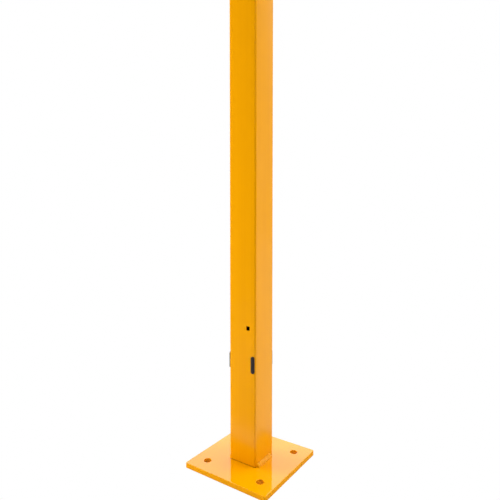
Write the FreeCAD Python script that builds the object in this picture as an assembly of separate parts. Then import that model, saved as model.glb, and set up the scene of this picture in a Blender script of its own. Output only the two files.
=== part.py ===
import FreeCAD, Part
import os

# A square steel guard post welded to a bolt-down base plate. Millimetres, +Z up. The origin is the
# middle of the plate's underside. The front face looks along -Y and the right face along +X.

OVERALL_HEIGHT = 1000.0

PLATE_SIDE = 150.0
PLATE_THICKNESS = 8.0
PLATE_CORNER_RADIUS = 3.0
PLATE_EDGE_BREAK = 0.6
ANCHOR_HOLE_SPACING = 100.0
ANCHOR_HOLE_RADIUS = 6.0

TUBE_SIDE = 50.0
TUBE_WALL = 2.0
TUBE_CORNER_RADIUS = 3.0

# A slot for a panel bracket, with a square hole above it for the bracket's bolt. Both are placed
# from the tube's face beside them.
SLOT_WIDTH = 4.0
SLOT_HEIGHT = 24.0
SLOT_FROM_SIDE_FACE = 5.1
SLOT_CENTRE_Z = 168.0
BOLT_HOLE_SIDE = 6.5
BOLT_HOLE_CORNER_RADIUS = 0.5
BOLT_HOLE_FROM_SIDE_FACE = 14.5
BOLT_HOLE_CENTRE_Z = 223.5

PLUG_HEAD_OVERLAP = 1.3
PLUG_HEAD_THICKNESS = 2.0
PLUG_HEAD_EDGE_RADIUS = 0.7
PLUG_NECK_CLEARANCE = 0.15
PLUG_LEG_THICKNESS = 2.0
PLUG_LEG_LENGTH = 9.0
PLUG_BARB_REACH = 0.9
PLUG_BARB_LENGTH = 5.0
PLUG_BARB_GAP = 0.2

WELD_LEG_UP = 6.0
WELD_LEG_OUT = 4.0
WELD_BULGE = 0.7
WELD_START_Y = -22.0
WELD_LENGTH = 40.0

CAP_FLANGE_THICKNESS = 4.0
CAP_FLANGE_EDGE_RADIUS = 1.6
CAP_BODY_GAP = 1.6
CAP_BODY_DEPTH = 22.0
CAP_BODY_WALL = 2.0
CAP_FIN_COUNT = 4
CAP_FIN_THICKNESS = 1.2
CAP_FIN_PITCH = 5.0

TUBE_INSIDE = TUBE_SIDE - 2 * TUBE_WALL
TUBE_TOP_Z = OVERALL_HEIGHT - CAP_FLANGE_THICKNESS
FRONT_FACE_Y = -TUBE_SIDE / 2
RIGHT_FACE_X = TUBE_SIDE / 2
SLOT_CENTRE_X = RIGHT_FACE_X - SLOT_FROM_SIDE_FACE
BOLT_HOLE_CENTRE_X = RIGHT_FACE_X - BOLT_HOLE_FROM_SIDE_FACE

ORIGIN = FreeCAD.Vector(0, 0, 0)
UP = FreeCAD.Vector(0, 0, 1)
INWARD = FreeCAD.Vector(0, 1, 0)


def box(x_range, y_range, z_range):
    """A box given by its lowest and highest place along each axis."""
    corner = FreeCAD.Vector(x_range[0], y_range[0], z_range[0])
    return Part.makeBox(
        x_range[1] - x_range[0], y_range[1] - y_range[0], z_range[1] - z_range[0], corner
    )


def square_bar(side, corner_radius, bottom_z, top_z):
    """An upright square bar on the post's axis with rounded upright corners."""
    half = side / 2
    bar = box((-half, half), (-half, half), (bottom_z, top_z))
    upright = [edge for edge in bar.Edges if abs(edge.tangentAt(edge.FirstParameter).z) > 0.9]
    return bar.makeFillet(corner_radius, upright)


def round_ended_bar(width, height, centre_x, centre_z, outer_y, depth):
    """A bar that runs inward from outer_y, with an upright section whose two ends are half rounds."""
    radius = width / 2
    end_offset = height / 2 - radius
    middle = box(
        (centre_x - radius, centre_x + radius),
        (outer_y, outer_y + depth),
        (centre_z - end_offset, centre_z + end_offset),
    )
    low_end = FreeCAD.Vector(centre_x, outer_y, centre_z - end_offset)
    high_end = FreeCAD.Vector(centre_x, outer_y, centre_z + end_offset)
    lower = Part.makeCylinder(radius, depth, low_end, INWARD)
    upper = Part.makeCylinder(radius, depth, high_end, INWARD)
    return middle.fuse([lower, upper]).removeSplitter()


def on_each_slotted_face(front_shape):
    """The front face's shape, and its copies on the left and the rear face."""
    left_shape = front_shape.copy()
    left_shape.rotate(ORIGIN, UP, -90)
    rear_shape = front_shape.mirror(ORIGIN, INWARD)
    return {"front": front_shape, "left": left_shape, "rear": rear_shape}


def make_base_plate():
    """The flange plate, with four anchor holes on a square and its top and bottom edges broken."""
    plate = square_bar(PLATE_SIDE, PLATE_CORNER_RADIUS, 0, PLATE_THICKNESS)
    rims = [edge for edge in plate.Edges if abs(edge.tangentAt(edge.FirstParameter).z) < 0.1]
    plate = plate.makeFillet(PLATE_EDGE_BREAK, rims)
    offset = ANCHOR_HOLE_SPACING / 2
    for x in (-offset, offset):
        for y in (-offset, offset):
            start = FreeCAD.Vector(x, y, 0)
            plate = plate.cut(Part.makeCylinder(ANCHOR_HOLE_RADIUS, PLATE_THICKNESS, start))
    return plate


def make_bolt_hole_tool():
    """The square bar that cuts the bracket's bolt hole through the front wall."""
    half = BOLT_HOLE_SIDE / 2
    tool = box(
        (BOLT_HOLE_CENTRE_X - half, BOLT_HOLE_CENTRE_X + half),
        (FRONT_FACE_Y - 1, FRONT_FACE_Y + TUBE_WALL + 1),
        (BOLT_HOLE_CENTRE_Z - half, BOLT_HOLE_CENTRE_Z + half),
    )
    across = [edge for edge in tool.Edges if abs(edge.tangentAt(edge.FirstParameter).y) > 0.9]
    return tool.makeFillet(BOLT_HOLE_CORNER_RADIUS, across)


def make_post_tube():
    """The square tube, with a bracket slot and a bolt hole in its front, left and rear walls."""
    tube = square_bar(TUBE_SIDE, TUBE_CORNER_RADIUS, PLATE_THICKNESS, TUBE_TOP_Z)
    inner_radius = TUBE_CORNER_RADIUS - TUBE_WALL
    tube = tube.cut(square_bar(TUBE_INSIDE, inner_radius, PLATE_THICKNESS, TUBE_TOP_Z))
    slot_tool = round_ended_bar(
        SLOT_WIDTH, SLOT_HEIGHT, SLOT_CENTRE_X, SLOT_CENTRE_Z, FRONT_FACE_Y - 1, TUBE_WALL + 2
    )
    for front_tool in (slot_tool, make_bolt_hole_tool()):
        for tool in on_each_slotted_face(front_tool).values():
            tube = tube.cut(tool)
    return tube


def make_plug_leg(direction):
    """One spring leg of a plug with its barb. Direction 1 is the upper leg, and -1 the lower."""
    wall_back_y = FRONT_FACE_Y + TUBE_WALL
    root_z = SLOT_HEIGHT / 2 - PLUG_NECK_CLEARANCE - SLOT_WIDTH / 2
    barb_y = wall_back_y + PLUG_BARB_GAP
    outline = [
        (FRONT_FACE_Y, root_z - PLUG_LEG_THICKNESS),
        (FRONT_FACE_Y, root_z),
        (barb_y, root_z),
        (barb_y, SLOT_HEIGHT / 2 + PLUG_BARB_REACH),
        (barb_y + PLUG_BARB_LENGTH, root_z),
        (wall_back_y + PLUG_LEG_LENGTH, root_z - PLUG_LEG_THICKNESS / 2),
        (wall_back_y + PLUG_LEG_LENGTH, root_z - PLUG_LEG_THICKNESS),
    ]
    half_width = SLOT_WIDTH / 2 - PLUG_NECK_CLEARANCE
    start_x = SLOT_CENTRE_X - half_width
    points = [FreeCAD.Vector(start_x, y, SLOT_CENTRE_Z + direction * z) for y, z in outline]
    side = Part.Face(Part.makePolygon(points + [points[0]]))
    return side.extrude(FreeCAD.Vector(2 * half_width, 0, 0))


def make_front_plug():
    """A push-in plug: a low round-ended head, a neck that fills the slot, and two barbed legs."""
    head = round_ended_bar(
        SLOT_WIDTH + 2 * PLUG_HEAD_OVERLAP,
        SLOT_HEIGHT + 2 * PLUG_HEAD_OVERLAP,
        SLOT_CENTRE_X,
        SLOT_CENTRE_Z,
        FRONT_FACE_Y - PLUG_HEAD_THICKNESS,
        PLUG_HEAD_THICKNESS,
    )
    outer_y = FRONT_FACE_Y - PLUG_HEAD_THICKNESS
    rim = [edge for edge in head.Edges if edge.BoundBox.YMax < outer_y + 0.01]
    head = head.makeFillet(PLUG_HEAD_EDGE_RADIUS, rim)
    neck = round_ended_bar(
        SLOT_WIDTH - 2 * PLUG_NECK_CLEARANCE,
        SLOT_HEIGHT - 2 * PLUG_NECK_CLEARANCE,
        SLOT_CENTRE_X,
        SLOT_CENTRE_Z,
        FRONT_FACE_Y,
        TUBE_WALL,
    )
    return head.fuse([neck, make_plug_leg(1), make_plug_leg(-1)]).removeSplitter()


def make_right_weld():
    """The fillet weld along the foot of the right face, with a slightly crowned outer side."""
    toe_up = FreeCAD.Vector(RIGHT_FACE_X, WELD_START_Y, PLATE_THICKNESS + WELD_LEG_UP)
    toe_out = FreeCAD.Vector(RIGHT_FACE_X + WELD_LEG_OUT, WELD_START_Y, PLATE_THICKNESS)
    root = FreeCAD.Vector(RIGHT_FACE_X, WELD_START_Y, PLATE_THICKNESS)
    slope = toe_out - toe_up
    outward = FreeCAD.Vector(-slope.z, 0, slope.x).normalize()
    crown = (toe_up + toe_out) * 0.5 + outward * WELD_BULGE
    outer_side = Part.Arc(toe_up, crown, toe_out).toShape()
    foot = Part.LineSegment(toe_out, root).toShape()
    back = Part.LineSegment(root, toe_up).toShape()
    section = Part.Face(Part.Wire([outer_side, foot, back]))
    return section.extrude(FreeCAD.Vector(0, WELD_LENGTH, 0))


def make_top_cap():
    """The push-in tube cap: a flange the size of the tube, and a hollow body with flexible fins."""
    flange = square_bar(TUBE_SIDE, TUBE_CORNER_RADIUS, TUBE_TOP_Z, OVERALL_HEIGHT)
    rim = [edge for edge in flange.Edges if edge.BoundBox.ZMin > OVERALL_HEIGHT - 0.01]
    flange = flange.makeFillet(CAP_FLANGE_EDGE_RADIUS, rim)
    body_side = TUBE_INSIDE - 2 * CAP_BODY_GAP
    inner_radius = TUBE_CORNER_RADIUS - TUBE_WALL
    body_bottom = TUBE_TOP_Z - CAP_BODY_DEPTH
    body = square_bar(body_side, inner_radius, body_bottom, TUBE_TOP_Z)
    pieces = [body]
    for index in range(CAP_FIN_COUNT):
        fin_bottom = body_bottom + 1 + index * CAP_FIN_PITCH
        fin_top = fin_bottom + CAP_FIN_THICKNESS
        pieces.append(square_bar(TUBE_INSIDE, inner_radius, fin_bottom, fin_top))
    cap = flange.fuse(pieces).removeSplitter()
    hollow_side = body_side - 2 * CAP_BODY_WALL
    return cap.cut(square_bar(hollow_side, inner_radius, body_bottom, TUBE_TOP_Z))


def main():
    right_weld = make_right_weld()
    parts = {
        "base_plate": make_base_plate(),
        "post_tube": make_post_tube(),
        "weld_bead_right": right_weld,
        "weld_bead_left": right_weld.mirror(ORIGIN, FreeCAD.Vector(1, 0, 0)),
        "top_cap": make_top_cap(),
    }
    for face_name, plug in on_each_slotted_face(make_front_plug()).items():
        parts["slot_plug_" + face_name] = plug
    os.makedirs("parts", exist_ok=True)
    for name, shape in parts.items():
        shape.exportStep("parts/" + name + ".step")


main()
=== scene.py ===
from math import cos, pi, radians, sin

import bmesh
import bpy
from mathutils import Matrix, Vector


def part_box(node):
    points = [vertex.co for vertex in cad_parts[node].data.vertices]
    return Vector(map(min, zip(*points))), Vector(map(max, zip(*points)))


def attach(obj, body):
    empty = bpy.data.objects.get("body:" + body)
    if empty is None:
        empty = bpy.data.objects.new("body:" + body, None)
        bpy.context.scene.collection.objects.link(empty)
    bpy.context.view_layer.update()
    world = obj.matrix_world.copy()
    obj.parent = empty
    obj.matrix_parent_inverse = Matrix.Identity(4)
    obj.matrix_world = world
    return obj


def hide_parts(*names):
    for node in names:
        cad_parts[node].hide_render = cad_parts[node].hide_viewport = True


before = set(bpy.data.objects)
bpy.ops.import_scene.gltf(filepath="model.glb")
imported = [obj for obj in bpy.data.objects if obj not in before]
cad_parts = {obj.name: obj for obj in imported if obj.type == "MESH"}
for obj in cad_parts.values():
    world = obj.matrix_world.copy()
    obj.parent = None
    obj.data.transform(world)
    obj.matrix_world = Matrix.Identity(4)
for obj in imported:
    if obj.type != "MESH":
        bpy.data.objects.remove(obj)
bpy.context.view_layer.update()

# ---- Studio ------------------------------------------------------------------------------------
# The post stands on plain white paper before a white background. Soft lamps light it from the left,
# right, front and top. A bright patch behind it and a dark flag before it shape what its glossy
# faces mirror.

MM = 0.001
plate_low, plate_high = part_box("base_plate")
tube_low, tube_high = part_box("post_tube")
FLOOR_Z = plate_low.z
WHITE = (1, 1, 1, 1)


def put(tree, kind, inputs=None, **settings):
    """Adds a node, sets it up, and gives each input a plain value or another node's socket."""
    node = tree.nodes.new(kind)
    for key, value in settings.items():
        setattr(node, key, value)
    for key, value in (inputs or {}).items():
        if isinstance(value, bpy.types.NodeSocket):
            tree.links.new(value, node.inputs[key])
        else:
            node.inputs[key].default_value = value
    return node


def maths(tree, operation, first, second=0.0, third=0.0, clamp=False):
    """One sum on two or three values or sockets, and its result's socket."""
    values = {0: first, 1: second, 2: third}
    return put(tree, "ShaderNodeMath", values, operation=operation, use_clamp=clamp).outputs[0]


def ramped(tree, value, low, high, to_low, to_high, smooth=True):
    """A value moved from one range to another, held at the ends."""
    kind = "SMOOTHSTEP" if smooth else "LINEAR"
    limits = {"Value": value, "From Min": low, "From Max": high}
    limits.update({"To Min": to_low, "To Max": to_high})
    return put(tree, "ShaderNodeMapRange", limits, interpolation_type=kind).outputs["Result"]


def facing(azimuth_deg, elevation_deg):
    """The direction from the post at an azimuth (0 is the front, 90 the right) and elevation."""
    azimuth = radians(azimuth_deg)
    elevation = radians(elevation_deg)
    level = cos(elevation)
    return Vector((sin(azimuth) * level, -cos(azimuth) * level, sin(elevation)))


CAMERA_AZIMUTH = 34.67
CAMERA_DISTANCE = 0.664
CAMERA_ABOVE_PLATE = 0.368
CAMERA_TURN = 34.87
CAMERA_PITCH = 2.86
CAMERA_LENS = 30.24
CAMERA_SENSOR = 36
CAMERA_CLIP = 0.01
camera = bpy.data.objects.new("camera", bpy.data.cameras.new("camera"))
camera.location = facing(CAMERA_AZIMUTH, 0) * CAMERA_DISTANCE
camera.location.z = plate_high.z + CAMERA_ABOVE_PLATE
camera.rotation_euler = (radians(90 - CAMERA_PITCH), 0, radians(CAMERA_TURN))
camera.data.sensor_width = CAMERA_SENSOR
camera.data.lens = CAMERA_LENS
camera.data.clip_start = CAMERA_CLIP
bpy.context.scene.collection.objects.link(camera)
bpy.context.scene.camera = camera
bpy.context.scene.view_settings.view_transform = "Standard"

# The patch and the flag are each placed by an azimuth, an elevation, and an inner and an outer
# angle, all in degrees.
WALL_LIGHT = 0.40
BACK_PATCH_LIGHT = 1.68
BACK_PATCH_PLACE = (-145, 34, 22, 60)
FLAG_SHADE = 0.94
FLAG_PLACE = (30, 0, 74, 100)
world = bpy.data.worlds.new("studio")
bpy.context.scene.world = world
world.use_nodes = True
sky = world.node_tree
sky.nodes.clear()
sky_direction = put(sky, "ShaderNodeTexCoord").outputs["Generated"]


def towards(azimuth_deg, elevation_deg, inner_deg, outer_deg):
    """A mask on the studio's walls: 1 within the inner angle of a direction, 0 past the outer."""
    axis = {0: sky_direction, 1: facing(azimuth_deg, elevation_deg)}
    along = put(sky, "ShaderNodeVectorMath", axis, operation="DOT_PRODUCT").outputs["Value"]
    return ramped(sky, along, cos(radians(outer_deg)), cos(radians(inner_deg)), 0.0, 1.0)


ray = put(sky, "ShaderNodeLightPath").outputs
back_patch = maths(sky, "MULTIPLY", towards(*BACK_PATCH_PLACE), BACK_PATCH_LIGHT)
mirrored_patch = maths(sky, "MULTIPLY", back_patch, ray["Is Glossy Ray"])
walls = maths(sky, "ADD", mirrored_patch, WALL_LIGHT)
flag = maths(sky, "MULTIPLY", towards(*FLAG_PLACE), FLAG_SHADE)
flagged = maths(sky, "SUBTRACT", 1.0, flag)
wall_light = maths(sky, "MULTIPLY", walls, flagged)
sky_strength = put(
    sky, "ShaderNodeMix", {0: ray["Is Camera Ray"], 2: wall_light, 3: 1.0}, data_type="FLOAT"
).outputs[0]
background = put(sky, "ShaderNodeBackground", {"Color": WHITE, "Strength": sky_strength})
put(sky, "ShaderNodeOutputWorld", {"Surface": background.outputs["Background"]})

LAMP_AIM_Z = 0.15


def soft_lamp(name, azimuth_deg, elevation_deg, distance, side, watts):
    """A square softbox aimed low on the post. Neither the camera nor a mirror ray sees it."""
    lamp = bpy.data.objects.new(name, bpy.data.lights.new(name, "AREA"))
    lamp.data.shape = "SQUARE"
    lamp.data.size = side
    lamp.data.energy = watts
    aim = Vector((0, 0, LAMP_AIM_Z))
    lamp.location = aim + facing(azimuth_deg, elevation_deg) * distance
    lamp.rotation_euler = (aim - lamp.location).to_track_quat("-Z", "Y").to_euler()
    lamp.visible_camera = False
    lamp.visible_glossy = False
    bpy.context.scene.collection.objects.link(lamp)


# Each lamp has its azimuth and elevation in degrees, its distance and side in metres, and watts.
soft_lamp("left_lamp", -72, 7, 1.5, 1.0, 36.5)
soft_lamp("right_lamp", 126, 8, 1.6, 1.0, 12.5)
soft_lamp("front_lamp", 36, 32, 2.4, 1.2, 16.0)
soft_lamp("top_lamp", 150, 80, 2.2, 1.4, 42.0)

# The paper is plain white to the camera and pale to bounced light. Mirror rays see it lit near the
# post and fading in front of it, and shaded close around the plate.
FLOOR_HALF = 12.0
PAPER_COLOUR = (0.8, 0.8, 0.8, 1)
MIRRORED_LIGHT = 0.58
MIRROR_FADE_START = 80 * MM
MIRROR_FADE_END = 180 * MM
PLATE_SHADE = 0.78
PLATE_SHADE_START = 12 * MM
PLATE_SHADE_END = 40 * MM
floor_mesh = bpy.data.meshes.new("floor")
corners = [(-1, -1), (1, -1), (1, 1), (-1, 1)]
floor_points = [(x * FLOOR_HALF, y * FLOOR_HALF, FLOOR_Z) for x, y in corners]
floor_mesh.from_pydata(floor_points, [], [(0, 1, 2, 3)])
floor = bpy.data.objects.new("floor", floor_mesh)
bpy.context.scene.collection.objects.link(floor)
paper = bpy.data.materials.new("pale_floor_paper")
paper.use_nodes = True
tree = paper.node_tree
tree.nodes.clear()
place = put(tree, "ShaderNodeTexCoord").outputs["Object"]
across = put(tree, "ShaderNodeSeparateXYZ", {0: place}).outputs
forward = maths(tree, "MULTIPLY", across["Y"], -1.0)
open_light = ramped(tree, forward, MIRROR_FADE_START, MIRROR_FADE_END, MIRRORED_LIGHT, 0.0)
side_reach = maths(tree, "ABSOLUTE", across["X"])
from_middle = maths(tree, "MAXIMUM", side_reach, maths(tree, "ABSOLUTE", across["Y"]))
shade_start = plate_high.x + PLATE_SHADE_START
shade_end = plate_high.x + PLATE_SHADE_END
plate_shade = ramped(tree, from_middle, shade_start, shade_end, PLATE_SHADE, 0.0)
gloss_light = maths(tree, "MULTIPLY", open_light, maths(tree, "SUBTRACT", 1.0, plate_shade))
light_path = put(tree, "ShaderNodeLightPath")
mirrored = put(tree, "ShaderNodeEmission", {"Color": WHITE, "Strength": gloss_light})
bounced = put(tree, "ShaderNodeBsdfDiffuse", {"Color": PAPER_COLOUR})
glowing = put(tree, "ShaderNodeEmission", {"Color": WHITE, "Strength": 1.0})
is_glossy = light_path.outputs["Is Glossy Ray"]
is_camera = light_path.outputs["Is Camera Ray"]
unseen = put(
    tree, "ShaderNodeMixShader", {0: is_glossy, 1: bounced.outputs[0], 2: mirrored.outputs[0]}
)
floor_look = put(
    tree, "ShaderNodeMixShader", {0: is_camera, 1: unseen.outputs[0], 2: glowing.outputs[0]}
)
put(tree, "ShaderNodeOutputMaterial", {"Surface": floor_look.outputs[0]})
floor_mesh.materials.append(paper)

# ---- Base plate --------------------------------------------------------------------------------
# The flange is a laser-cut square of 8 mm steel plate with four anchor holes. Its sharp edges are
# broken before it is welded to the tube and powder coated a glossy signal orange-yellow.

PLATE_CORNER_RADIUS = 3.0 * MM
PLATE_EDGE_RADIUS = 0.6 * MM
ANCHOR_SPACING = 100.0 * MM
ANCHOR_RADIUS = 6.0 * MM
ANCHOR_EDGE_RADIUS = 0.45 * MM
CORNER_STEPS = 8
EDGE_STEPS = 4
FLAT_MARGIN = 0.8 * MM
COAT_COLOUR = (0.875, 0.362, 0.0, 1)
COAT_THIN_COLOUR = (0.85, 0.343, 0.0, 1)
# The dark brown of the foot line: bare steel the powder misses, plus painted shade for the crease
# where the tube meets the plate.
FOOT_SHADE_AND_BARE_COLOUR = (0.05, 0.018, 0.006, 1)
BARE_JOINT_HAZE = 0.7
COAT_IOR = 1.5
MERGE_DISTANCE = 0.001 * MM


def square_ring(half, radius, z, steps=CORNER_STEPS):
    """The points of a level rounded square about the post's axis, anticlockwise from above."""
    points = []
    for quarter in range(4):
        middle = radians(90 * quarter + 45)
        centre_x = (half - radius) * (1 if cos(middle) > 0 else -1)
        centre_y = (half - radius) * (1 if sin(middle) > 0 else -1)
        for step in range(steps + 1):
            angle = radians(90) * (quarter + step / steps)
            x = centre_x + radius * cos(angle)
            y = centre_y + radius * sin(angle)
            points.append(Vector((x, y, z)))
    return points


def circle_ring(centre_x, centre_y, radius, z, steps=48):
    """The points of a level circle."""
    turns = [2 * pi * step / steps for step in range(steps)]
    return [Vector((centre_x + radius * cos(a), centre_y + radius * sin(a), z)) for a in turns]


def soft_edge(radius, steps=EDGE_STEPS):
    """A rounded edge as pairs of inset and drop, from the flat face round to the side face."""
    turns = [radians(90) * step / steps for step in range(steps + 1)]
    return [(radius * (1 - sin(a)), radius * (1 - cos(a))) for a in turns]


def through_profile(edge_radius, low, high, margin):
    """Pairs of inset and height for a side wall with both its edges rounded, from top to bottom."""
    top = [(inset, high - drop) for inset, drop in soft_edge(edge_radius)]
    bottom = [(inset, low + drop) for inset, drop in reversed(soft_edge(edge_radius))]
    flat_top = [(edge_radius + margin, high)]
    flat_bottom = [(edge_radius + margin, low)]
    middle = [(0, high - edge_radius - margin), (0, low + edge_radius + margin)]
    return flat_top + top + middle + bottom + flat_bottom


def loft(mesh, rings, closed=False, skip=()):
    """Joins rings of equally many points with four-sided faces, and returns the rings' vertices."""
    made = [[mesh.verts.new(point) for point in ring] for ring in rings]
    pairs = list(zip(made, made[1:] + made[:1])) if closed else list(zip(made, made[1:]))
    for level, (ring, following) in enumerate(pairs):
        count = len(ring)
        for index in range(count):
            if (level, index) not in skip:
                after = (index + 1) % count
                mesh.faces.new((ring[index], ring[after], following[after], following[index]))
    return made


def fill_flat(mesh, *loops):
    """Fills the flat region between closed loops of vertices, where the first is the outermost."""
    edges = []
    for loop in loops:
        for start, end in zip(loop, loop[1:] + loop[:1]):
            edges.append(mesh.edges.get((start, end)) or mesh.edges.new((start, end)))
    return bmesh.ops.triangle_fill(mesh, use_beauty=True, edges=edges)["geom"]


def make_piece(name, mesh, materials):
    """Turns a finished shape into a smooth-shaded object with its faces outward, at the origin."""
    bmesh.ops.remove_doubles(mesh, verts=mesh.verts, dist=MERGE_DISTANCE)
    bmesh.ops.recalc_face_normals(mesh, faces=mesh.faces)
    for face in mesh.faces:
        face.smooth = True
    data = bpy.data.meshes.new(name)
    mesh.to_mesh(data)
    mesh.free()
    for material in materials:
        data.materials.append(material)
    piece = bpy.data.objects.new(name, data)
    bpy.context.scene.collection.objects.link(piece)
    return piece


def new_group(name, inputs, outputs, kind="ShaderNodeTree"):
    """An empty group of nodes with named inputs and outputs, and the sockets at its two ends."""
    group = bpy.data.node_groups.new(name, kind)
    for label, socket_kind, value in inputs:
        socket = group.interface.new_socket(label, in_out="INPUT", socket_type=socket_kind)
        if value is not None:
            socket.default_value = value
    for label, socket_kind in outputs:
        group.interface.new_socket(label, in_out="OUTPUT", socket_type=socket_kind)
    given = group.nodes.new("NodeGroupInput").outputs
    result = group.nodes.new("NodeGroupOutput").inputs
    return group, given, result


def put_group(tree, group, inputs):
    """Places a group of nodes in a material with its own values, and returns its outputs."""
    return put(tree, "ShaderNodeGroup", inputs, node_tree=group).outputs


def mixed(tree, factor, first, second):
    """A colour between two colours or sockets, and its socket."""
    inputs = {0: factor, 6: first, 7: second}
    return put(tree, "ShaderNodeMix", inputs, data_type="RGBA").outputs[2]


# A powder coat flows out glossy as it bakes, with faint shallow waves, tiny nibs, and a slow change
# of film thickness and haze. Roll lines along a drawn tube show through as faint upright streaks.
FLOAT = "NodeSocketFloat"
VECTOR = "NodeSocketVector"
ROLL_LINE_PITCH = 4.0 * MM
ROLL_LINE_STRETCH = 0.006
NIB_SIZE = 0.022
NIB_HEIGHT = 0.010 * MM
film, given, result = new_group(
    "powder_coat_film",
    [
        ("Place", VECTOR, None),
        ("Wave Pitch", FLOAT, 4.0 * MM),
        ("Wave Height", FLOAT, 0.002 * MM),
        ("Drift Pitch", FLOAT, 120.0 * MM),
        ("Nib Pitch", FLOAT, 20.0 * MM),
        ("Haze Low", FLOAT, 0.04),
        ("Haze High", FLOAT, 0.08),
        ("Roll Lines", FLOAT, 0.0),
    ],
    [("Height", FLOAT), ("Thickness", FLOAT), ("Haze", FLOAT)],
)
wave_scale = maths(film, "DIVIDE", 1.0, given["Wave Pitch"])
waves = put(
    film,
    "ShaderNodeTexNoise",
    {"Vector": given["Place"], "Scale": wave_scale, "Detail": 1.0, "Roughness": 0.4},
)
drift_scale = maths(film, "DIVIDE", 1.0, given["Drift Pitch"])
drift = put(
    film,
    "ShaderNodeTexNoise",
    {"Vector": given["Place"], "Scale": drift_scale, "Detail": 2.0, "Roughness": 0.5},
)
nib_scale = maths(film, "DIVIDE", 1.0, given["Nib Pitch"])
nibs = put(film, "ShaderNodeTexVoronoi", {"Vector": given["Place"], "Scale": nib_scale})
nib_height = ramped(film, nibs.outputs["Distance"], 0.0, NIB_SIZE, NIB_HEIGHT, 0.0)
wave_height = maths(film, "MULTIPLY", waves.outputs["Fac"], given["Wave Height"])
film.links.new(maths(film, "ADD", wave_height, nib_height), result["Height"])
lengthwise = {0: given["Place"], 1: (1.0, 1.0, ROLL_LINE_STRETCH)}
drawn = put(film, "ShaderNodeVectorMath", lengthwise, operation="MULTIPLY").outputs[0]
lines = put(
    film,
    "ShaderNodeTexNoise",
    {"Vector": drawn, "Scale": 1.0 / ROLL_LINE_PITCH, "Detail": 1.0, "Roughness": 0.5},
)
slow_share = ramped(film, drift.outputs["Fac"], 0.3, 0.7, 0.0, 1.0)
line_share = ramped(film, lines.outputs["Fac"], 0.35, 0.65, 0.0, 1.0)
line_step = maths(film, "SUBTRACT", line_share, slow_share)
line_part = maths(film, "MULTIPLY", line_step, given["Roll Lines"])
film.links.new(maths(film, "ADD", slow_share, line_part), result["Thickness"])
film.links.new(
    ramped(film, drift.outputs["Fac"], 0.35, 0.7, given["Haze High"], given["Haze Low"]),
    result["Haze"],
)


def coated_steel(name, wave_pitch, wave_height, haze_low, haze_high, roll_lines=0.0, joint=None):
    """A glossy powder coat. A joint, if given, adds a mask of bare steel that no powder reaches,
    darkened further with painted shade for the crease.
    """
    material = bpy.data.materials.new(name)
    material.use_nodes = True
    tree = material.node_tree
    tree.nodes.clear()
    coat_inputs = {
        "Place": put(tree, "ShaderNodeTexCoord").outputs["Object"],
        "Wave Pitch": wave_pitch,
        "Wave Height": wave_height,
        "Haze Low": haze_low,
        "Haze High": haze_high,
        "Roll Lines": roll_lines,
    }
    coat = put_group(tree, film, coat_inputs)
    tone = mixed(tree, coat["Thickness"], COAT_THIN_COLOUR, COAT_COLOUR)
    haze = coat["Haze"]
    if joint is not None:
        # The mask mixes in the dark foot colour, which is partly bare steel and partly painted
        # crease shade.
        mask = joint(tree)
        tone = mixed(tree, mask, tone, FOOT_SHADE_AND_BARE_COLOUR)
        haze = maths(tree, "MAXIMUM", haze, maths(tree, "MULTIPLY", mask, BARE_JOINT_HAZE))
    relief = put(tree, "ShaderNodeBump", {"Height": coat["Height"], "Distance": 1.0})
    surface_inputs = {
        "Base Color": tone,
        "Roughness": haze,
        "IOR": COAT_IOR,
        "Normal": relief.outputs["Normal"],
    }
    surface = put(tree, "ShaderNodeBsdfPrincipled", surface_inputs)
    put(tree, "ShaderNodeOutputMaterial", {"Surface": surface.outputs["BSDF"]})
    return material


plate_half = (plate_high.x - plate_low.x) / 2
plate_shape = bmesh.new()
outside = []
for inset, z in through_profile(PLATE_EDGE_RADIUS, plate_low.z, plate_high.z, FLAT_MARGIN):
    outside.append(square_ring(plate_half - inset, PLATE_CORNER_RADIUS - inset, z))
outside = loft(plate_shape, outside)
top_loops = [outside[0]]
bottom_loops = [outside[-1]]
for x in (-ANCHOR_SPACING / 2, ANCHOR_SPACING / 2):
    for y in (-ANCHOR_SPACING / 2, ANCHOR_SPACING / 2):
        hole = []
        for inset, z in through_profile(
            ANCHOR_EDGE_RADIUS, plate_low.z, plate_high.z, FLAT_MARGIN
        ):
            hole.append(circle_ring(x, y, ANCHOR_RADIUS + inset, z))
        hole = loft(plate_shape, hole)
        top_loops.append(hole[0])
        bottom_loops.append(hole[-1])
fill_flat(plate_shape, *top_loops)
fill_flat(plate_shape, *bottom_loops)
plate_coat = coated_steel(
    "coated_plate",
    wave_pitch=5.0 * MM,
    wave_height=0.003 * MM,
    haze_low=0.035,
    haze_high=0.065,
)
base_plate = make_piece("base_plate_coated", plate_shape, [plate_coat])
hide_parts("base_plate")
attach(base_plate, "root")

# ---- Post tube ---------------------------------------------------------------------------------
# A cold-formed square tube, 50 x 50 x 2 mm, sawn to length and stood on the plate. A bracket slot
# and a square bolt hole are cut in its front, left and rear walls before it is powder coated.

TUBE_CORNER_RADIUS = 3.0 * MM
TUBE_WALL = 2.0 * MM
FOOT_CHAMFER = 0.5 * MM
FOOT_CHAMFER_HEIGHT = 0.8 * MM
TOP_EDGE_RADIUS = 0.4 * MM
PANEL_LOW_Z = 150.0 * MM
PANEL_HIGH_Z = 240.0 * MM
RING_STEP = 250.0 * MM
SLOT_CENTRE = Vector((19.9 * MM, 168.0 * MM))
SLOT_HALF_WIDTH = 2.0 * MM
SLOT_HALF_HEIGHT = 12.0 * MM
SLOT_LIP = 0.2 * MM
SLOT_MARGIN = 0.05 * MM
BOLT_HOLE_CENTRE = Vector((10.5 * MM, 223.5 * MM))
BOLT_HOLE_HALF = 3.25 * MM
BOLT_HOLE_CORNER = 0.5 * MM
BOLT_HOLE_LIP = 0.35 * MM
BOLT_HOLE_MARGIN = 0.25 * MM
tube_half = (tube_high.x - tube_low.x) / 2
front_y = tube_low.y
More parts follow.
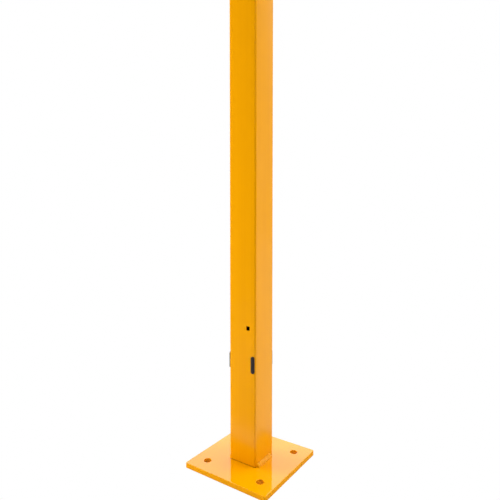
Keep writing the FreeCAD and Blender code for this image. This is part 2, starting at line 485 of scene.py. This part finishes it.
SLOTTED_FACES = {
    "front": lambda p: Vector((p.x, p.y, p.z)),
    "left": lambda p: Vector((p.y, -p.x, p.z)),
    "rear": lambda p: Vector((p.x, -p.y, p.z)),
}


def slot_outline(half_width, half_height, centre, y, steps=16):
    """The points of an upright slot with half-round ends, in a plane that faces the front."""
    points = []
    straight = half_height - half_width
    for end in (1, -1):
        for step in range(steps + 1):
            angle = pi * step / steps + (0 if end == 1 else pi)
            x = centre.x + half_width * cos(angle)
            z = centre.y + end * straight + half_width * sin(angle)
            points.append(Vector((x, y, z)))
    return points


def hole_outline(half, radius, centre, y, steps=6):
    """The points of a rounded square hole, in a plane that faces the front."""
    level = square_ring(half, radius, 0, steps)
    return [Vector((centre.x + p.x, y, centre.y + p.y)) for p in level]


def wall_profile(lip, margin):
    """Pairs of outward offset and depth for an opening's side, from the outer face to the inner."""
    pairs = [(lip + margin, 0)]
    pairs += [(inset, drop) for inset, drop in soft_edge(lip, 3)]
    pairs += [(0, lip + margin), (0, TUBE_WALL - 0.1 * MM), (0, TUBE_WALL)]
    return pairs


outer_levels = [
    (FOOT_CHAMFER, tube_low.z),
    (FOOT_CHAMFER * 0.35, tube_low.z + FOOT_CHAMFER_HEIGHT * 0.5),
    (0, tube_low.z + FOOT_CHAMFER_HEIGHT),
    (0, tube_low.z + FOOT_CHAMFER_HEIGHT * 2),
    (0, PANEL_LOW_Z),
    (0, PANEL_HIGH_Z),
    (0, PANEL_HIGH_Z + RING_STEP),
    (0, PANEL_HIGH_Z + 2 * RING_STEP),
    (0, tube_high.z - TOP_EDGE_RADIUS * 3),
    (0, tube_high.z - TOP_EDGE_RADIUS),
    (TOP_EDGE_RADIUS * 0.3, tube_high.z - TOP_EDGE_RADIUS * 0.3),
    (TOP_EDGE_RADIUS, tube_high.z),
]
inner_levels = [
    (TUBE_WALL, tube_high.z),
    (TUBE_WALL, PANEL_HIGH_Z),
    (TUBE_WALL, PANEL_LOW_Z),
    (TUBE_WALL, tube_low.z),
]
levels = outer_levels + inner_levels
outer_panel_level = 4
inner_panel_level = len(outer_levels) + 1
ring_length = 4 * (CORNER_STEPS + 1)
flat_segment = {
    "rear": CORNER_STEPS,
    "left": 2 * CORNER_STEPS + 1,
    "front": 3 * CORNER_STEPS + 2,
}
skipped = set()
for segment in flat_segment.values():
    skipped.add((outer_panel_level, segment))
    skipped.add((inner_panel_level, segment))
tube_shape = bmesh.new()
tube_rings = []
for inset, z in levels:
    tube_rings.append(square_ring(tube_half - inset, TUBE_CORNER_RADIUS - inset, z))
tube_rings = loft(tube_shape, tube_rings, closed=True, skip=skipped)
for face_name, placed in SLOTTED_FACES.items():
    segment = flat_segment[face_name]
    slot_walls = []
    for offset, depth in wall_profile(SLOT_LIP, SLOT_MARGIN):
        half_width = SLOT_HALF_WIDTH + offset
        half_height = SLOT_HALF_HEIGHT + offset
        slot_walls.append(slot_outline(half_width, half_height, SLOT_CENTRE, front_y + depth))
    hole_walls = []
    for offset, depth in wall_profile(BOLT_HOLE_LIP, BOLT_HOLE_MARGIN):
        half = BOLT_HOLE_HALF + offset
        radius = BOLT_HOLE_CORNER + offset
        hole_walls.append(hole_outline(half, radius, BOLT_HOLE_CENTRE, front_y + depth))
    lofted = []
    for walls in (slot_walls, hole_walls):
        lofted.append(loft(tube_shape, [[placed(point) for point in ring] for ring in walls]))
    for level, which in ((outer_panel_level, 0), (inner_panel_level, -1)):
        low_ring = tube_rings[level]
        high_ring = tube_rings[level + 1]
        after = (segment + 1) % ring_length
        frame_loop = [low_ring[segment], low_ring[after], high_ring[after], high_ring[segment]]
        fill_flat(tube_shape, frame_loop, *[opening[which] for opening in lofted])
# The foot strip is painted dark: partly bare steel, partly painted shade in the crease at the
# plate.
foot_shade_and_bare_steel = tube_shape.verts.layers.float.new("foot_shade_and_bare_steel")
for vertex in tube_shape.verts:
    height = vertex.co.z - tube_low.z
    vertex[foot_shade_and_bare_steel] = max(0.0, min(1.0, 1.3 - height / FOOT_CHAMFER_HEIGHT))
inside_half = tube_half - TUBE_WALL * 0.9
for face in tube_shape.faces:
    middle = face.calc_center_median()
    if max(abs(middle.x), abs(middle.y)) < inside_half:
        face.material_index = 1


def foot_mask(tree):
    """The strip along the sawn foot that the powder doesn't reach, painted dark both as bare steel
    and as the shade in the crease at the plate.
    """
    attribute = put(tree, "ShaderNodeAttribute", attribute_name="foot_shade_and_bare_steel")
    return attribute.outputs["Fac"]


tube_coat = coated_steel(
    "coated_tube",
    wave_pitch=6.0 * MM,
    wave_height=0.006 * MM,
    haze_low=0.11,
    haze_high=0.16,
    roll_lines=0.6,
    joint=foot_mask,
)
MILL_SCALE_DARK = (0.010, 0.010, 0.012, 1)
MILL_SCALE_PALE = (0.045, 0.038, 0.034, 1)
bare_steel = bpy.data.materials.new("bare_tube_inside")
bare_steel.use_nodes = True
tree = bare_steel.node_tree
tree.nodes.clear()
place = put(tree, "ShaderNodeTexCoord").outputs["Object"]
scale = put(tree, "ShaderNodeTexNoise", {"Vector": place, "Scale": 90.0, "Detail": 6.0})
mill_scale = mixed(tree, scale.outputs["Fac"], MILL_SCALE_DARK, MILL_SCALE_PALE)
dark_steel = put(
    tree,
    "ShaderNodeBsdfPrincipled",
    {"Base Color": mill_scale, "Roughness": 0.6, "Metallic": 0.4},
)
put(tree, "ShaderNodeOutputMaterial", {"Surface": dark_steel.outputs["BSDF"]})
post_tube = make_piece("post_tube_coated", tube_shape, [tube_coat, bare_steel])
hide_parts("post_tube")
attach(post_tube, "root")

# ---- Weld beads --------------------------------------------------------------------------------
# Two short fillet welds hold the tube's right and left faces to the plate. Each is a row of
# overlapping ripples with rounded ends, laid by hand, then coated along with the steel.

RIPPLE_PITCH = 1.9 * MM
RIPPLE_DEPTH = 0.10 * MM
RIPPLE_SWEEP = 0.9
WELD_BULGE = 0.7 * MM
WELD_END_RADIUS = 2.2 * MM
BEAD_ROWS = 201
BEAD_COLUMNS = 19
TOE_WANDER = 0.45
TOE_WAVES_PER_METRE = 330.0
STEP_WANDER = 1.4
STEP_WAVES_PER_METRE = 260.0
GEOMETRY = "NodeSocketGeometry"
weld, given, result = new_group(
    "fillet_weld",
    [
        ("Root Start", VECTOR, None),
        ("Outward", FLOAT, 1.0),
        ("Length", FLOAT, 0.04),
        ("Leg Up", FLOAT, 0.006),
        ("Leg Out", FLOAT, 0.004),
        ("Bulge", FLOAT, WELD_BULGE),
        ("Ripple Pitch", FLOAT, RIPPLE_PITCH),
        ("Ripple Depth", FLOAT, RIPPLE_DEPTH),
        ("End Radius", FLOAT, WELD_END_RADIUS),
        ("Seed", FLOAT, 1.0),
    ],
    [("Geometry", GEOMETRY)],
    "GeometryNodeTree",
)
grid_inputs = {"Size X": 1.0, "Size Y": 1.0, "Vertices X": BEAD_ROWS, "Vertices Y": BEAD_COLUMNS}
grid = put(weld, "GeometryNodeMeshGrid", grid_inputs)
apart = put(weld, "ShaderNodeSeparateXYZ", {0: put(weld, "GeometryNodeInputPosition").outputs[0]})
along = maths(weld, "MULTIPLY", maths(weld, "ADD", apart.outputs["X"], 0.5), given["Length"])
around = maths(weld, "ADD", apart.outputs["Y"], 0.5)
column = 1 / (BEAD_COLUMNS - 1)
angle = ramped(weld, around, column, 1 - column, pi / 2, 0.0, smooth=False)
off_middle = maths(weld, "ABSOLUTE", apart.outputs["Y"])
on_surface = maths(weld, "LESS_THAN", off_middle, 0.5 - column / 2)
outward_share = maths(weld, "COSINE", angle)
upward_share = maths(weld, "SINE", angle)
mid_share = maths(weld, "SINE", maths(weld, "MULTIPLY", angle, 2.0))
slope_out = maths(weld, "DIVIDE", outward_share, given["Leg Out"])
slope_up = maths(weld, "DIVIDE", upward_share, given["Leg Up"])
reach = maths(weld, "DIVIDE", 1.0, maths(weld, "ADD", slope_out, slope_up))


def weld_noise(scale, offset):
    """A seeded wander along the bead, about 0."""
    seed = maths(weld, "ADD", given["Seed"], offset)
    step = maths(weld, "MULTIPLY", along, scale)
    spot = put(weld, "ShaderNodeCombineXYZ", {0: step, 1: seed}).outputs[0]
    noise = put(weld, "ShaderNodeTexNoise", {"Vector": spot, "Scale": 1.0, "Detail": 2.0})
    return maths(weld, "SUBTRACT", noise.outputs[0], 0.5)


toe_noise = weld_noise(TOE_WAVES_PER_METRE, 7.3)
toe_wander = maths(weld, "MULTIPLY_ADD", toe_noise, TOE_WANDER, 1.0)
step_noise = weld_noise(STEP_WAVES_PER_METRE, 1.7)
step_wander = maths(weld, "MULTIPLY", step_noise, RIPPLE_PITCH * STEP_WANDER)
lag = maths(weld, "MULTIPLY", maths(weld, "SUBTRACT", 1.0, mid_share), RIPPLE_SWEEP)
laid = maths(weld, "DIVIDE", maths(weld, "ADD", along, step_wander), given["Ripple Pitch"])
phase = maths(weld, "MULTIPLY", maths(weld, "ADD", laid, lag), pi)
scallop = maths(weld, "SUBTRACT", maths(weld, "ABSOLUTE", maths(weld, "SINE", phase)), 1.0)
ripple = maths(weld, "MULTIPLY", scallop, given["Ripple Depth"])
crown = maths(weld, "MULTIPLY", mid_share, given["Bulge"])
body = maths(weld, "MULTIPLY_ADD", reach, toe_wander, maths(weld, "ADD", crown, ripple))
to_far_end = maths(weld, "SUBTRACT", given["Length"], along)
from_end = maths(weld, "MINIMUM", along, to_far_end)
end_share = maths(weld, "DIVIDE", from_end, given["End Radius"], clamp=True)
end_fall = maths(weld, "POWER", maths(weld, "SUBTRACT", 1.0, end_share), 2.0)
taper = maths(weld, "SQRT", maths(weld, "SUBTRACT", 1.0, end_fall))
size_here = maths(weld, "MULTIPLY", maths(weld, "MULTIPLY", body, taper), on_surface)
out = maths(weld, "MULTIPLY", maths(weld, "MULTIPLY", size_here, outward_share), given["Outward"])
up = maths(weld, "MULTIPLY", size_here, upward_share)
offset = put(weld, "ShaderNodeCombineXYZ", {0: out, 1: along, 2: up}).outputs[0]
laid_at = put(weld, "ShaderNodeVectorMath", {0: offset, 1: given["Root Start"]}, operation="ADD")
bead = put(
    weld,
    "GeometryNodeSetPosition",
    {"Geometry": grid.outputs["Mesh"], "Position": laid_at.outputs[0]},
)
merged = put(
    weld, "GeometryNodeMergeByDistance", {"Geometry": bead.outputs[0], "Distance": 0.005 * MM}
)
real = put(weld, "GeometryNodeRealizeInstances", {"Geometry": merged.outputs[0]})
weld_coat = coated_steel(
    "coated_weld",
    wave_pitch=2.5 * MM,
    wave_height=0.006 * MM,
    haze_low=0.10,
    haze_high=0.18,
)
finish_inputs = {"Geometry": real.outputs[0], "Material": weld_coat}
coated = put(weld, "GeometryNodeSetMaterial", finish_inputs)
weld.links.new(coated.outputs[0], result["Geometry"])


def run_tree(tree, name, values):
    """Runs a geometry tree with the given input values, and returns its result as a plain shape."""
    carrier = bpy.data.objects.new(name, bpy.data.meshes.new(name))
    bpy.context.scene.collection.objects.link(carrier)
    modifier = carrier.modifiers.new(name, "NODES")
    modifier.node_group = tree
    for item in tree.interface.items_tree:
        if item.in_out == "INPUT" and item.name in values:
            modifier[item.identifier] = values[item.name]
    graph = bpy.context.evaluated_depsgraph_get()
    outcome = bpy.data.meshes.new_from_object(carrier.evaluated_get(graph))
    carrier.modifiers.clear()
    shape = bmesh.new()
    shape.from_mesh(outcome)
    bpy.data.objects.remove(carrier)
    return shape


for side_name, outward, seed in (("right", 1.0, 3.0), ("left", -1.0, 11.0)):
    node_name = "weld_bead_" + side_name
    bead_low, bead_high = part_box(node_name)
    root_x = bead_low.x if outward > 0 else bead_high.x
    values = {
        "Root Start": (root_x, bead_low.y, bead_low.z),
        "Outward": outward,
        "Length": bead_high.y - bead_low.y,
        "Leg Up": bead_high.z - bead_low.z,
        "Leg Out": bead_high.x - bead_low.x,
        "Seed": seed,
    }
    shape = run_tree(weld, node_name, values)
    weld_bead = make_piece(node_name + "_coated", shape, [weld_coat])
    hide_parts(node_name)
    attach(weld_bead, "root")

# ---- Slot plugs --------------------------------------------------------------------------------
# Each bracket slot is closed by a dark grey moulded plug: a low crowned head with a soft rim and a
# pry notch at its foot, a neck that fills the slot, and two barbed legs that snap in behind.

HEAD_HALF_WIDTH = 3.3 * MM
HEAD_HALF_HEIGHT = 13.3 * MM
HEAD_THICKNESS = 2.0 * MM
HEAD_RIM_HEIGHT = 1.8 * MM
HEAD_RIM_RADIUS = 0.6 * MM
CROWN_STEPS = 6
NECK_CLEARANCE = 0.15 * MM
LEG_HALF_WIDTH = 1.5 * MM
LEG_THICKNESS = 2.0 * MM
LEG_LENGTH = 9.0 * MM
BARB_REACH = 0.9 * MM
BARB_LENGTH = 5.0 * MM
BARB_GAP = 0.2 * MM
PRY_HALF_WIDTH = 1.3 * MM
PRY_DEPTH = 0.6 * MM

# Moulded plastic has a fine spark-eroded grain, slow streaks where it flowed into the mould, and a
# slightly polished look where it has been handled.
grain, given, result = new_group(
    "moulded_grain",
    [
        ("Place", VECTOR, None),
        ("Grain Pitch", FLOAT, 0.3 * MM),
        ("Grain Height", FLOAT, 0.01 * MM),
        ("Flow Pitch", FLOAT, 6.0 * MM),
        ("Haze Low", FLOAT, 0.35),
        ("Haze High", FLOAT, 0.5),
    ],
    [("Height", FLOAT), ("Flow", FLOAT), ("Haze", FLOAT)],
)
grain_scale = maths(grain, "DIVIDE", 1.0, given["Grain Pitch"])
pits = put(
    grain,
    "ShaderNodeTexNoise",
    {"Vector": given["Place"], "Scale": grain_scale, "Detail": 3.0, "Roughness": 0.6},
)
flow_scale = maths(grain, "DIVIDE", 1.0, given["Flow Pitch"])
flow = put(
    grain,
    "ShaderNodeTexNoise",
    {"Vector": given["Place"], "Scale": flow_scale, "Detail": 2.0, "Distortion": 0.6},
)
pit_height = maths(grain, "MULTIPLY", pits.outputs[0], given["Grain Height"])
grain.links.new(pit_height, result["Height"])
flow_share = ramped(grain, flow.outputs[0], 0.3, 0.7, 0.0, 1.0)
grain.links.new(flow_share, result["Flow"])
grain.links.new(
    ramped(grain, flow.outputs[0], 0.3, 0.7, given["Haze High"], given["Haze Low"]),
    result["Haze"],
)


def moulded_plastic(name, dark, pale, grain_pitch, grain_height, haze_low, haze_high):
    """A through-coloured plastic between two close tones, with moulded grain."""
    material = bpy.data.materials.new(name)
    material.use_nodes = True
    tree = material.node_tree
    tree.nodes.clear()
    grain_inputs = {
        "Place": put(tree, "ShaderNodeTexCoord").outputs["Object"],
        "Grain Pitch": grain_pitch,
        "Grain Height": grain_height,
        "Haze Low": haze_low,
        "Haze High": haze_high,
    }
    moulded = put_group(tree, grain, grain_inputs)
    relief = put(tree, "ShaderNodeBump", {"Height": moulded["Height"], "Distance": 1.0})
    surface_inputs = {
        "Base Color": mixed(tree, moulded["Flow"], dark, pale),
        "Roughness": moulded["Haze"],
        "IOR": 1.5,
        "Normal": relief.outputs["Normal"],
    }
    surface = put(tree, "ShaderNodeBsdfPrincipled", surface_inputs)
    put(tree, "ShaderNodeOutputMaterial", {"Surface": surface.outputs["BSDF"]})
    return material


plug_plastic = moulded_plastic(
    "plug_plastic",
    dark=(0.030, 0.022, 0.024, 1),
    pale=(0.042, 0.033, 0.034, 1),
    grain_pitch=0.35 * MM,
    grain_height=0.010 * MM,
    haze_low=0.38,
    haze_high=0.52,
)
neck_half_width = SLOT_HALF_WIDTH - NECK_CLEARANCE
neck_half_height = SLOT_HALF_HEIGHT - NECK_CLEARANCE
neck_end_y = front_y + TUBE_WALL
crown_rise = HEAD_THICKNESS - HEAD_RIM_HEIGHT
crown_span = HEAD_HALF_WIDTH - HEAD_RIM_RADIUS - 0.05 * MM


def head_ring(inset, height):
    """One ring of a plug's head, at an inset from its rim and a height off the tube's face."""
    ring = slot_outline(
        HEAD_HALF_WIDTH - inset, HEAD_HALF_HEIGHT - inset, SLOT_CENTRE, front_y - height
    )
    if height < HEAD_RIM_HEIGHT * 0.6:
        for point in ring:
            off_centre = (point.x - SLOT_CENTRE.x) / PRY_HALF_WIDTH
            if point.z < SLOT_CENTRE.y and abs(off_centre) < 1:
                point.z += PRY_DEPTH * (1 - off_centre**2)
    return ring


def plug_profile():
    """The rings of a plug, from the end of its neck out to the middle of its head."""
    neck = [
        slot_outline(neck_half_width, neck_half_height, SLOT_CENTRE, neck_end_y),
        slot_outline(neck_half_width, neck_half_height, SLOT_CENTRE, front_y),
    ]
    rings = neck + [head_ring(0.12 * MM, 0), head_ring(0, 0.12 * MM)]
    for inset, drop in reversed(soft_edge(HEAD_RIM_RADIUS)):
        rings.append(head_ring(inset, HEAD_RIM_HEIGHT - drop))
    for step in range(1, CROWN_STEPS + 1):
        share = step / CROWN_STEPS
        height = HEAD_RIM_HEIGHT + crown_rise * sin(share * pi / 2)
        rings.append(head_ring(HEAD_RIM_RADIUS + crown_span * share, height))
    return rings


def add_leg(mesh, placed, direction):
    """One barbed leg behind the neck, and the loop of vertices where it leaves the neck."""
    top = neck_half_height - SLOT_HALF_WIDTH
    barb_y = neck_end_y + BARB_GAP
    tip_y = neck_end_y + LEG_LENGTH
    outline = [
        (neck_end_y, top - LEG_THICKNESS),
        (tip_y, top - LEG_THICKNESS),
        (tip_y, top - LEG_THICKNESS / 2),
        (barb_y + BARB_LENGTH, top),
        (barb_y, SLOT_HALF_HEIGHT + BARB_REACH),
        (barb_y, top),
        (neck_end_y, top),
    ]
    sides = []
    for x in (SLOT_CENTRE.x - LEG_HALF_WIDTH, SLOT_CENTRE.x + LEG_HALF_WIDTH):
        points = [Vector((x, y, SLOT_CENTRE.y + direction * z)) for y, z in outline]
        sides.append([mesh.verts.new(placed(point)) for point in points])
        mesh.faces.new(sides[-1])
    near, far = sides
    for index in range(len(outline) - 1):
        mesh.faces.new((near[index], near[index + 1], far[index + 1], far[index]))
    return [near[0], near[-1], far[-1], far[0]]


for face_name, placed in SLOTTED_FACES.items():
    node_name = "slot_plug_" + face_name
    plug_shape = bmesh.new()
    rings = [[placed(point) for point in ring] for ring in plug_profile()]
    rings = loft(plug_shape, rings)
    fill_flat(plug_shape, rings[-1])
    roots = [add_leg(plug_shape, placed, 1), add_leg(plug_shape, placed, -1)]
    fill_flat(plug_shape, rings[0], *roots)
    slot_plug = make_piece(node_name + "_moulded", plug_shape, [plug_plastic])
    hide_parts(node_name)
    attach(slot_plug, "root")

# ---- Top cap -----------------------------------------------------------------------------------
# A black moulded cap closes the tube. Its flange covers the tube's end, with a rounded rim, a
# slight dome and a gate mark in the middle, and four thin fins on its hollow body grip the tube.

cap_low, cap_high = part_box("top_cap")
CAP_RIM_RADIUS = 1.6 * MM
CAP_DOME = 0.4 * MM
CAP_FOOT_EDGE = 0.3 * MM
CAP_BODY_HALF = 21.4 * MM
CAP_BODY_WALL = 2.0 * MM
GATE_HALF = 1.6 * MM
GATE_DEPTH = 0.2 * MM
FIN_COUNT = 4
FIN_PITCH = 5.0 * MM
FIN_FIRST = 1.0 * MM
FIN_THICKNESS = 1.2 * MM
cap_half = (cap_high.x - cap_low.x) / 2
seat_z = tube_high.z
rim_z = cap_high.z - CAP_DOME
hollow_half = CAP_BODY_HALF - CAP_BODY_WALL
cap_profile = [
    (0.3 * MM, 0.29 * MM, cap_high.z - GATE_DEPTH),
    (GATE_HALF * 0.75, GATE_HALF * 0.7, cap_high.z - GATE_DEPTH),
    (GATE_HALF, GATE_HALF * 0.95, cap_high.z - GATE_DEPTH * 0.2),
    (GATE_HALF * 1.3, GATE_HALF * 1.2, cap_high.z),
]
dome_half = cap_half - CAP_RIM_RADIUS
for share in (0.25, 0.5, 0.75, 0.92, 1.0):
    half = dome_half * share
    radius = max(TUBE_CORNER_RADIUS - CAP_RIM_RADIUS, half * (1 - share) * 0.8)
    cap_profile.append((half, radius, cap_high.z - CAP_DOME * share**2))
for inset, drop in soft_edge(CAP_RIM_RADIUS, 6)[1:]:
    cap_profile.append((cap_half - inset, TUBE_CORNER_RADIUS - inset, rim_z - drop))
cap_profile += [
    (cap_half, TUBE_CORNER_RADIUS, seat_z + CAP_FOOT_EDGE),
    (cap_half - CAP_FOOT_EDGE, TUBE_CORNER_RADIUS - CAP_FOOT_EDGE, seat_z),
    (CAP_BODY_HALF, 1.0 * MM, seat_z),
    (CAP_BODY_HALF, 1.0 * MM, cap_low.z + CAP_FOOT_EDGE),
    (CAP_BODY_HALF - CAP_FOOT_EDGE, 0.9 * MM, cap_low.z),
    (hollow_half + CAP_FOOT_EDGE, 0.9 * MM, cap_low.z),
    (hollow_half, 0.8 * MM, cap_low.z + CAP_FOOT_EDGE),
    (hollow_half, 0.8 * MM, seat_z),
]
cap_shape = bmesh.new()
cap_rings = loft(cap_shape, [square_ring(half, radius, z) for half, radius, z in cap_profile])
fill_flat(cap_shape, cap_rings[0])
fill_flat(cap_shape, cap_rings[-1])
cap_plastic = moulded_plastic(
    "cap_plastic",
    dark=(0.012, 0.012, 0.0125, 1),
    pale=(0.020, 0.020, 0.021, 1),
    grain_pitch=0.5 * MM,
    grain_height=0.020 * MM,
    haze_low=0.42,
    haze_high=0.55,
)
fins, given, result = new_group(
    "cap_fins",
    [
        ("Count", "NodeSocketInt", FIN_COUNT),
        ("Pitch", FLOAT, FIN_PITCH),
        ("First", VECTOR, None),
        ("Inner Half", FLOAT, 0.021),
        ("Outer Half", FLOAT, 0.023),
        ("Thickness", FLOAT, FIN_THICKNESS),
    ],
    [("Geometry", GEOMETRY)],
    "GeometryNodeTree",
)
mid_half = maths(fins, "ADD", given["Inner Half"], given["Outer Half"])
fin_reach = maths(fins, "SUBTRACT", given["Outer Half"], given["Inner Half"])
rail_inputs = {"Width": mid_half, "Height": mid_half}
rail = put(fins, "GeometryNodeCurvePrimitiveQuadrilateral", rail_inputs)
rail = put(
    fins,
    "GeometryNodeFilletCurve",
    {"Curve": rail.outputs[0], "Radius": 1.3 * MM, "Count": 6, "Limit Radius": True},
    mode="POLY",
)
upright = put(fins, "GeometryNodeSetCurveNormal", {"Curve": rail.outputs[0]}, mode="Z_UP")
section_inputs = {"Width": fin_reach, "Height": given["Thickness"]}
section = put(fins, "GeometryNodeCurvePrimitiveQuadrilateral", section_inputs)
section = put(
    fins,
    "GeometryNodeFilletCurve",
    {"Curve": section.outputs[0], "Radius": 0.3 * MM, "Count": 3, "Limit Radius": True},
    mode="POLY",
)
fin_inputs = {"Curve": upright.outputs[0], "Profile Curve": section.outputs[0]}
fin = put(fins, "GeometryNodeCurveToMesh", fin_inputs)
rise = put(fins, "ShaderNodeCombineXYZ", {2: given["Pitch"]}).outputs[0]
row_inputs = {"Count": given["Count"], "Start Location": given["First"], "Offset": rise}
row = put(fins, "GeometryNodeMeshLine", row_inputs)
placed_inputs = {"Points": row.outputs[0], "Instance": fin.outputs[0]}
placed_fins = put(fins, "GeometryNodeInstanceOnPoints", placed_inputs)
real = put(fins, "GeometryNodeRealizeInstances", {"Geometry": placed_fins.outputs[0]})
finish_inputs = {"Geometry": real.outputs[0], "Material": cap_plastic}
moulded_fins = put(fins, "GeometryNodeSetMaterial", finish_inputs)
fins.links.new(moulded_fins.outputs[0], result["Geometry"])
fin_values = {
    "First": (0, 0, cap_low.z + FIN_FIRST + FIN_THICKNESS / 2),
    "Inner Half": CAP_BODY_HALF - 0.3 * MM,
    "Outer Half": tube_half - TUBE_WALL,
}
fin_shape = run_tree(fins, "cap_fins", fin_values)
fin_data = bpy.data.meshes.new("fins")
fin_shape.to_mesh(fin_data)
fin_shape.free()
cap_shape.from_mesh(fin_data)
top_cap = make_piece("top_cap_moulded", cap_shape, [cap_plastic])
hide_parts("top_cap")
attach(top_cap, "root")
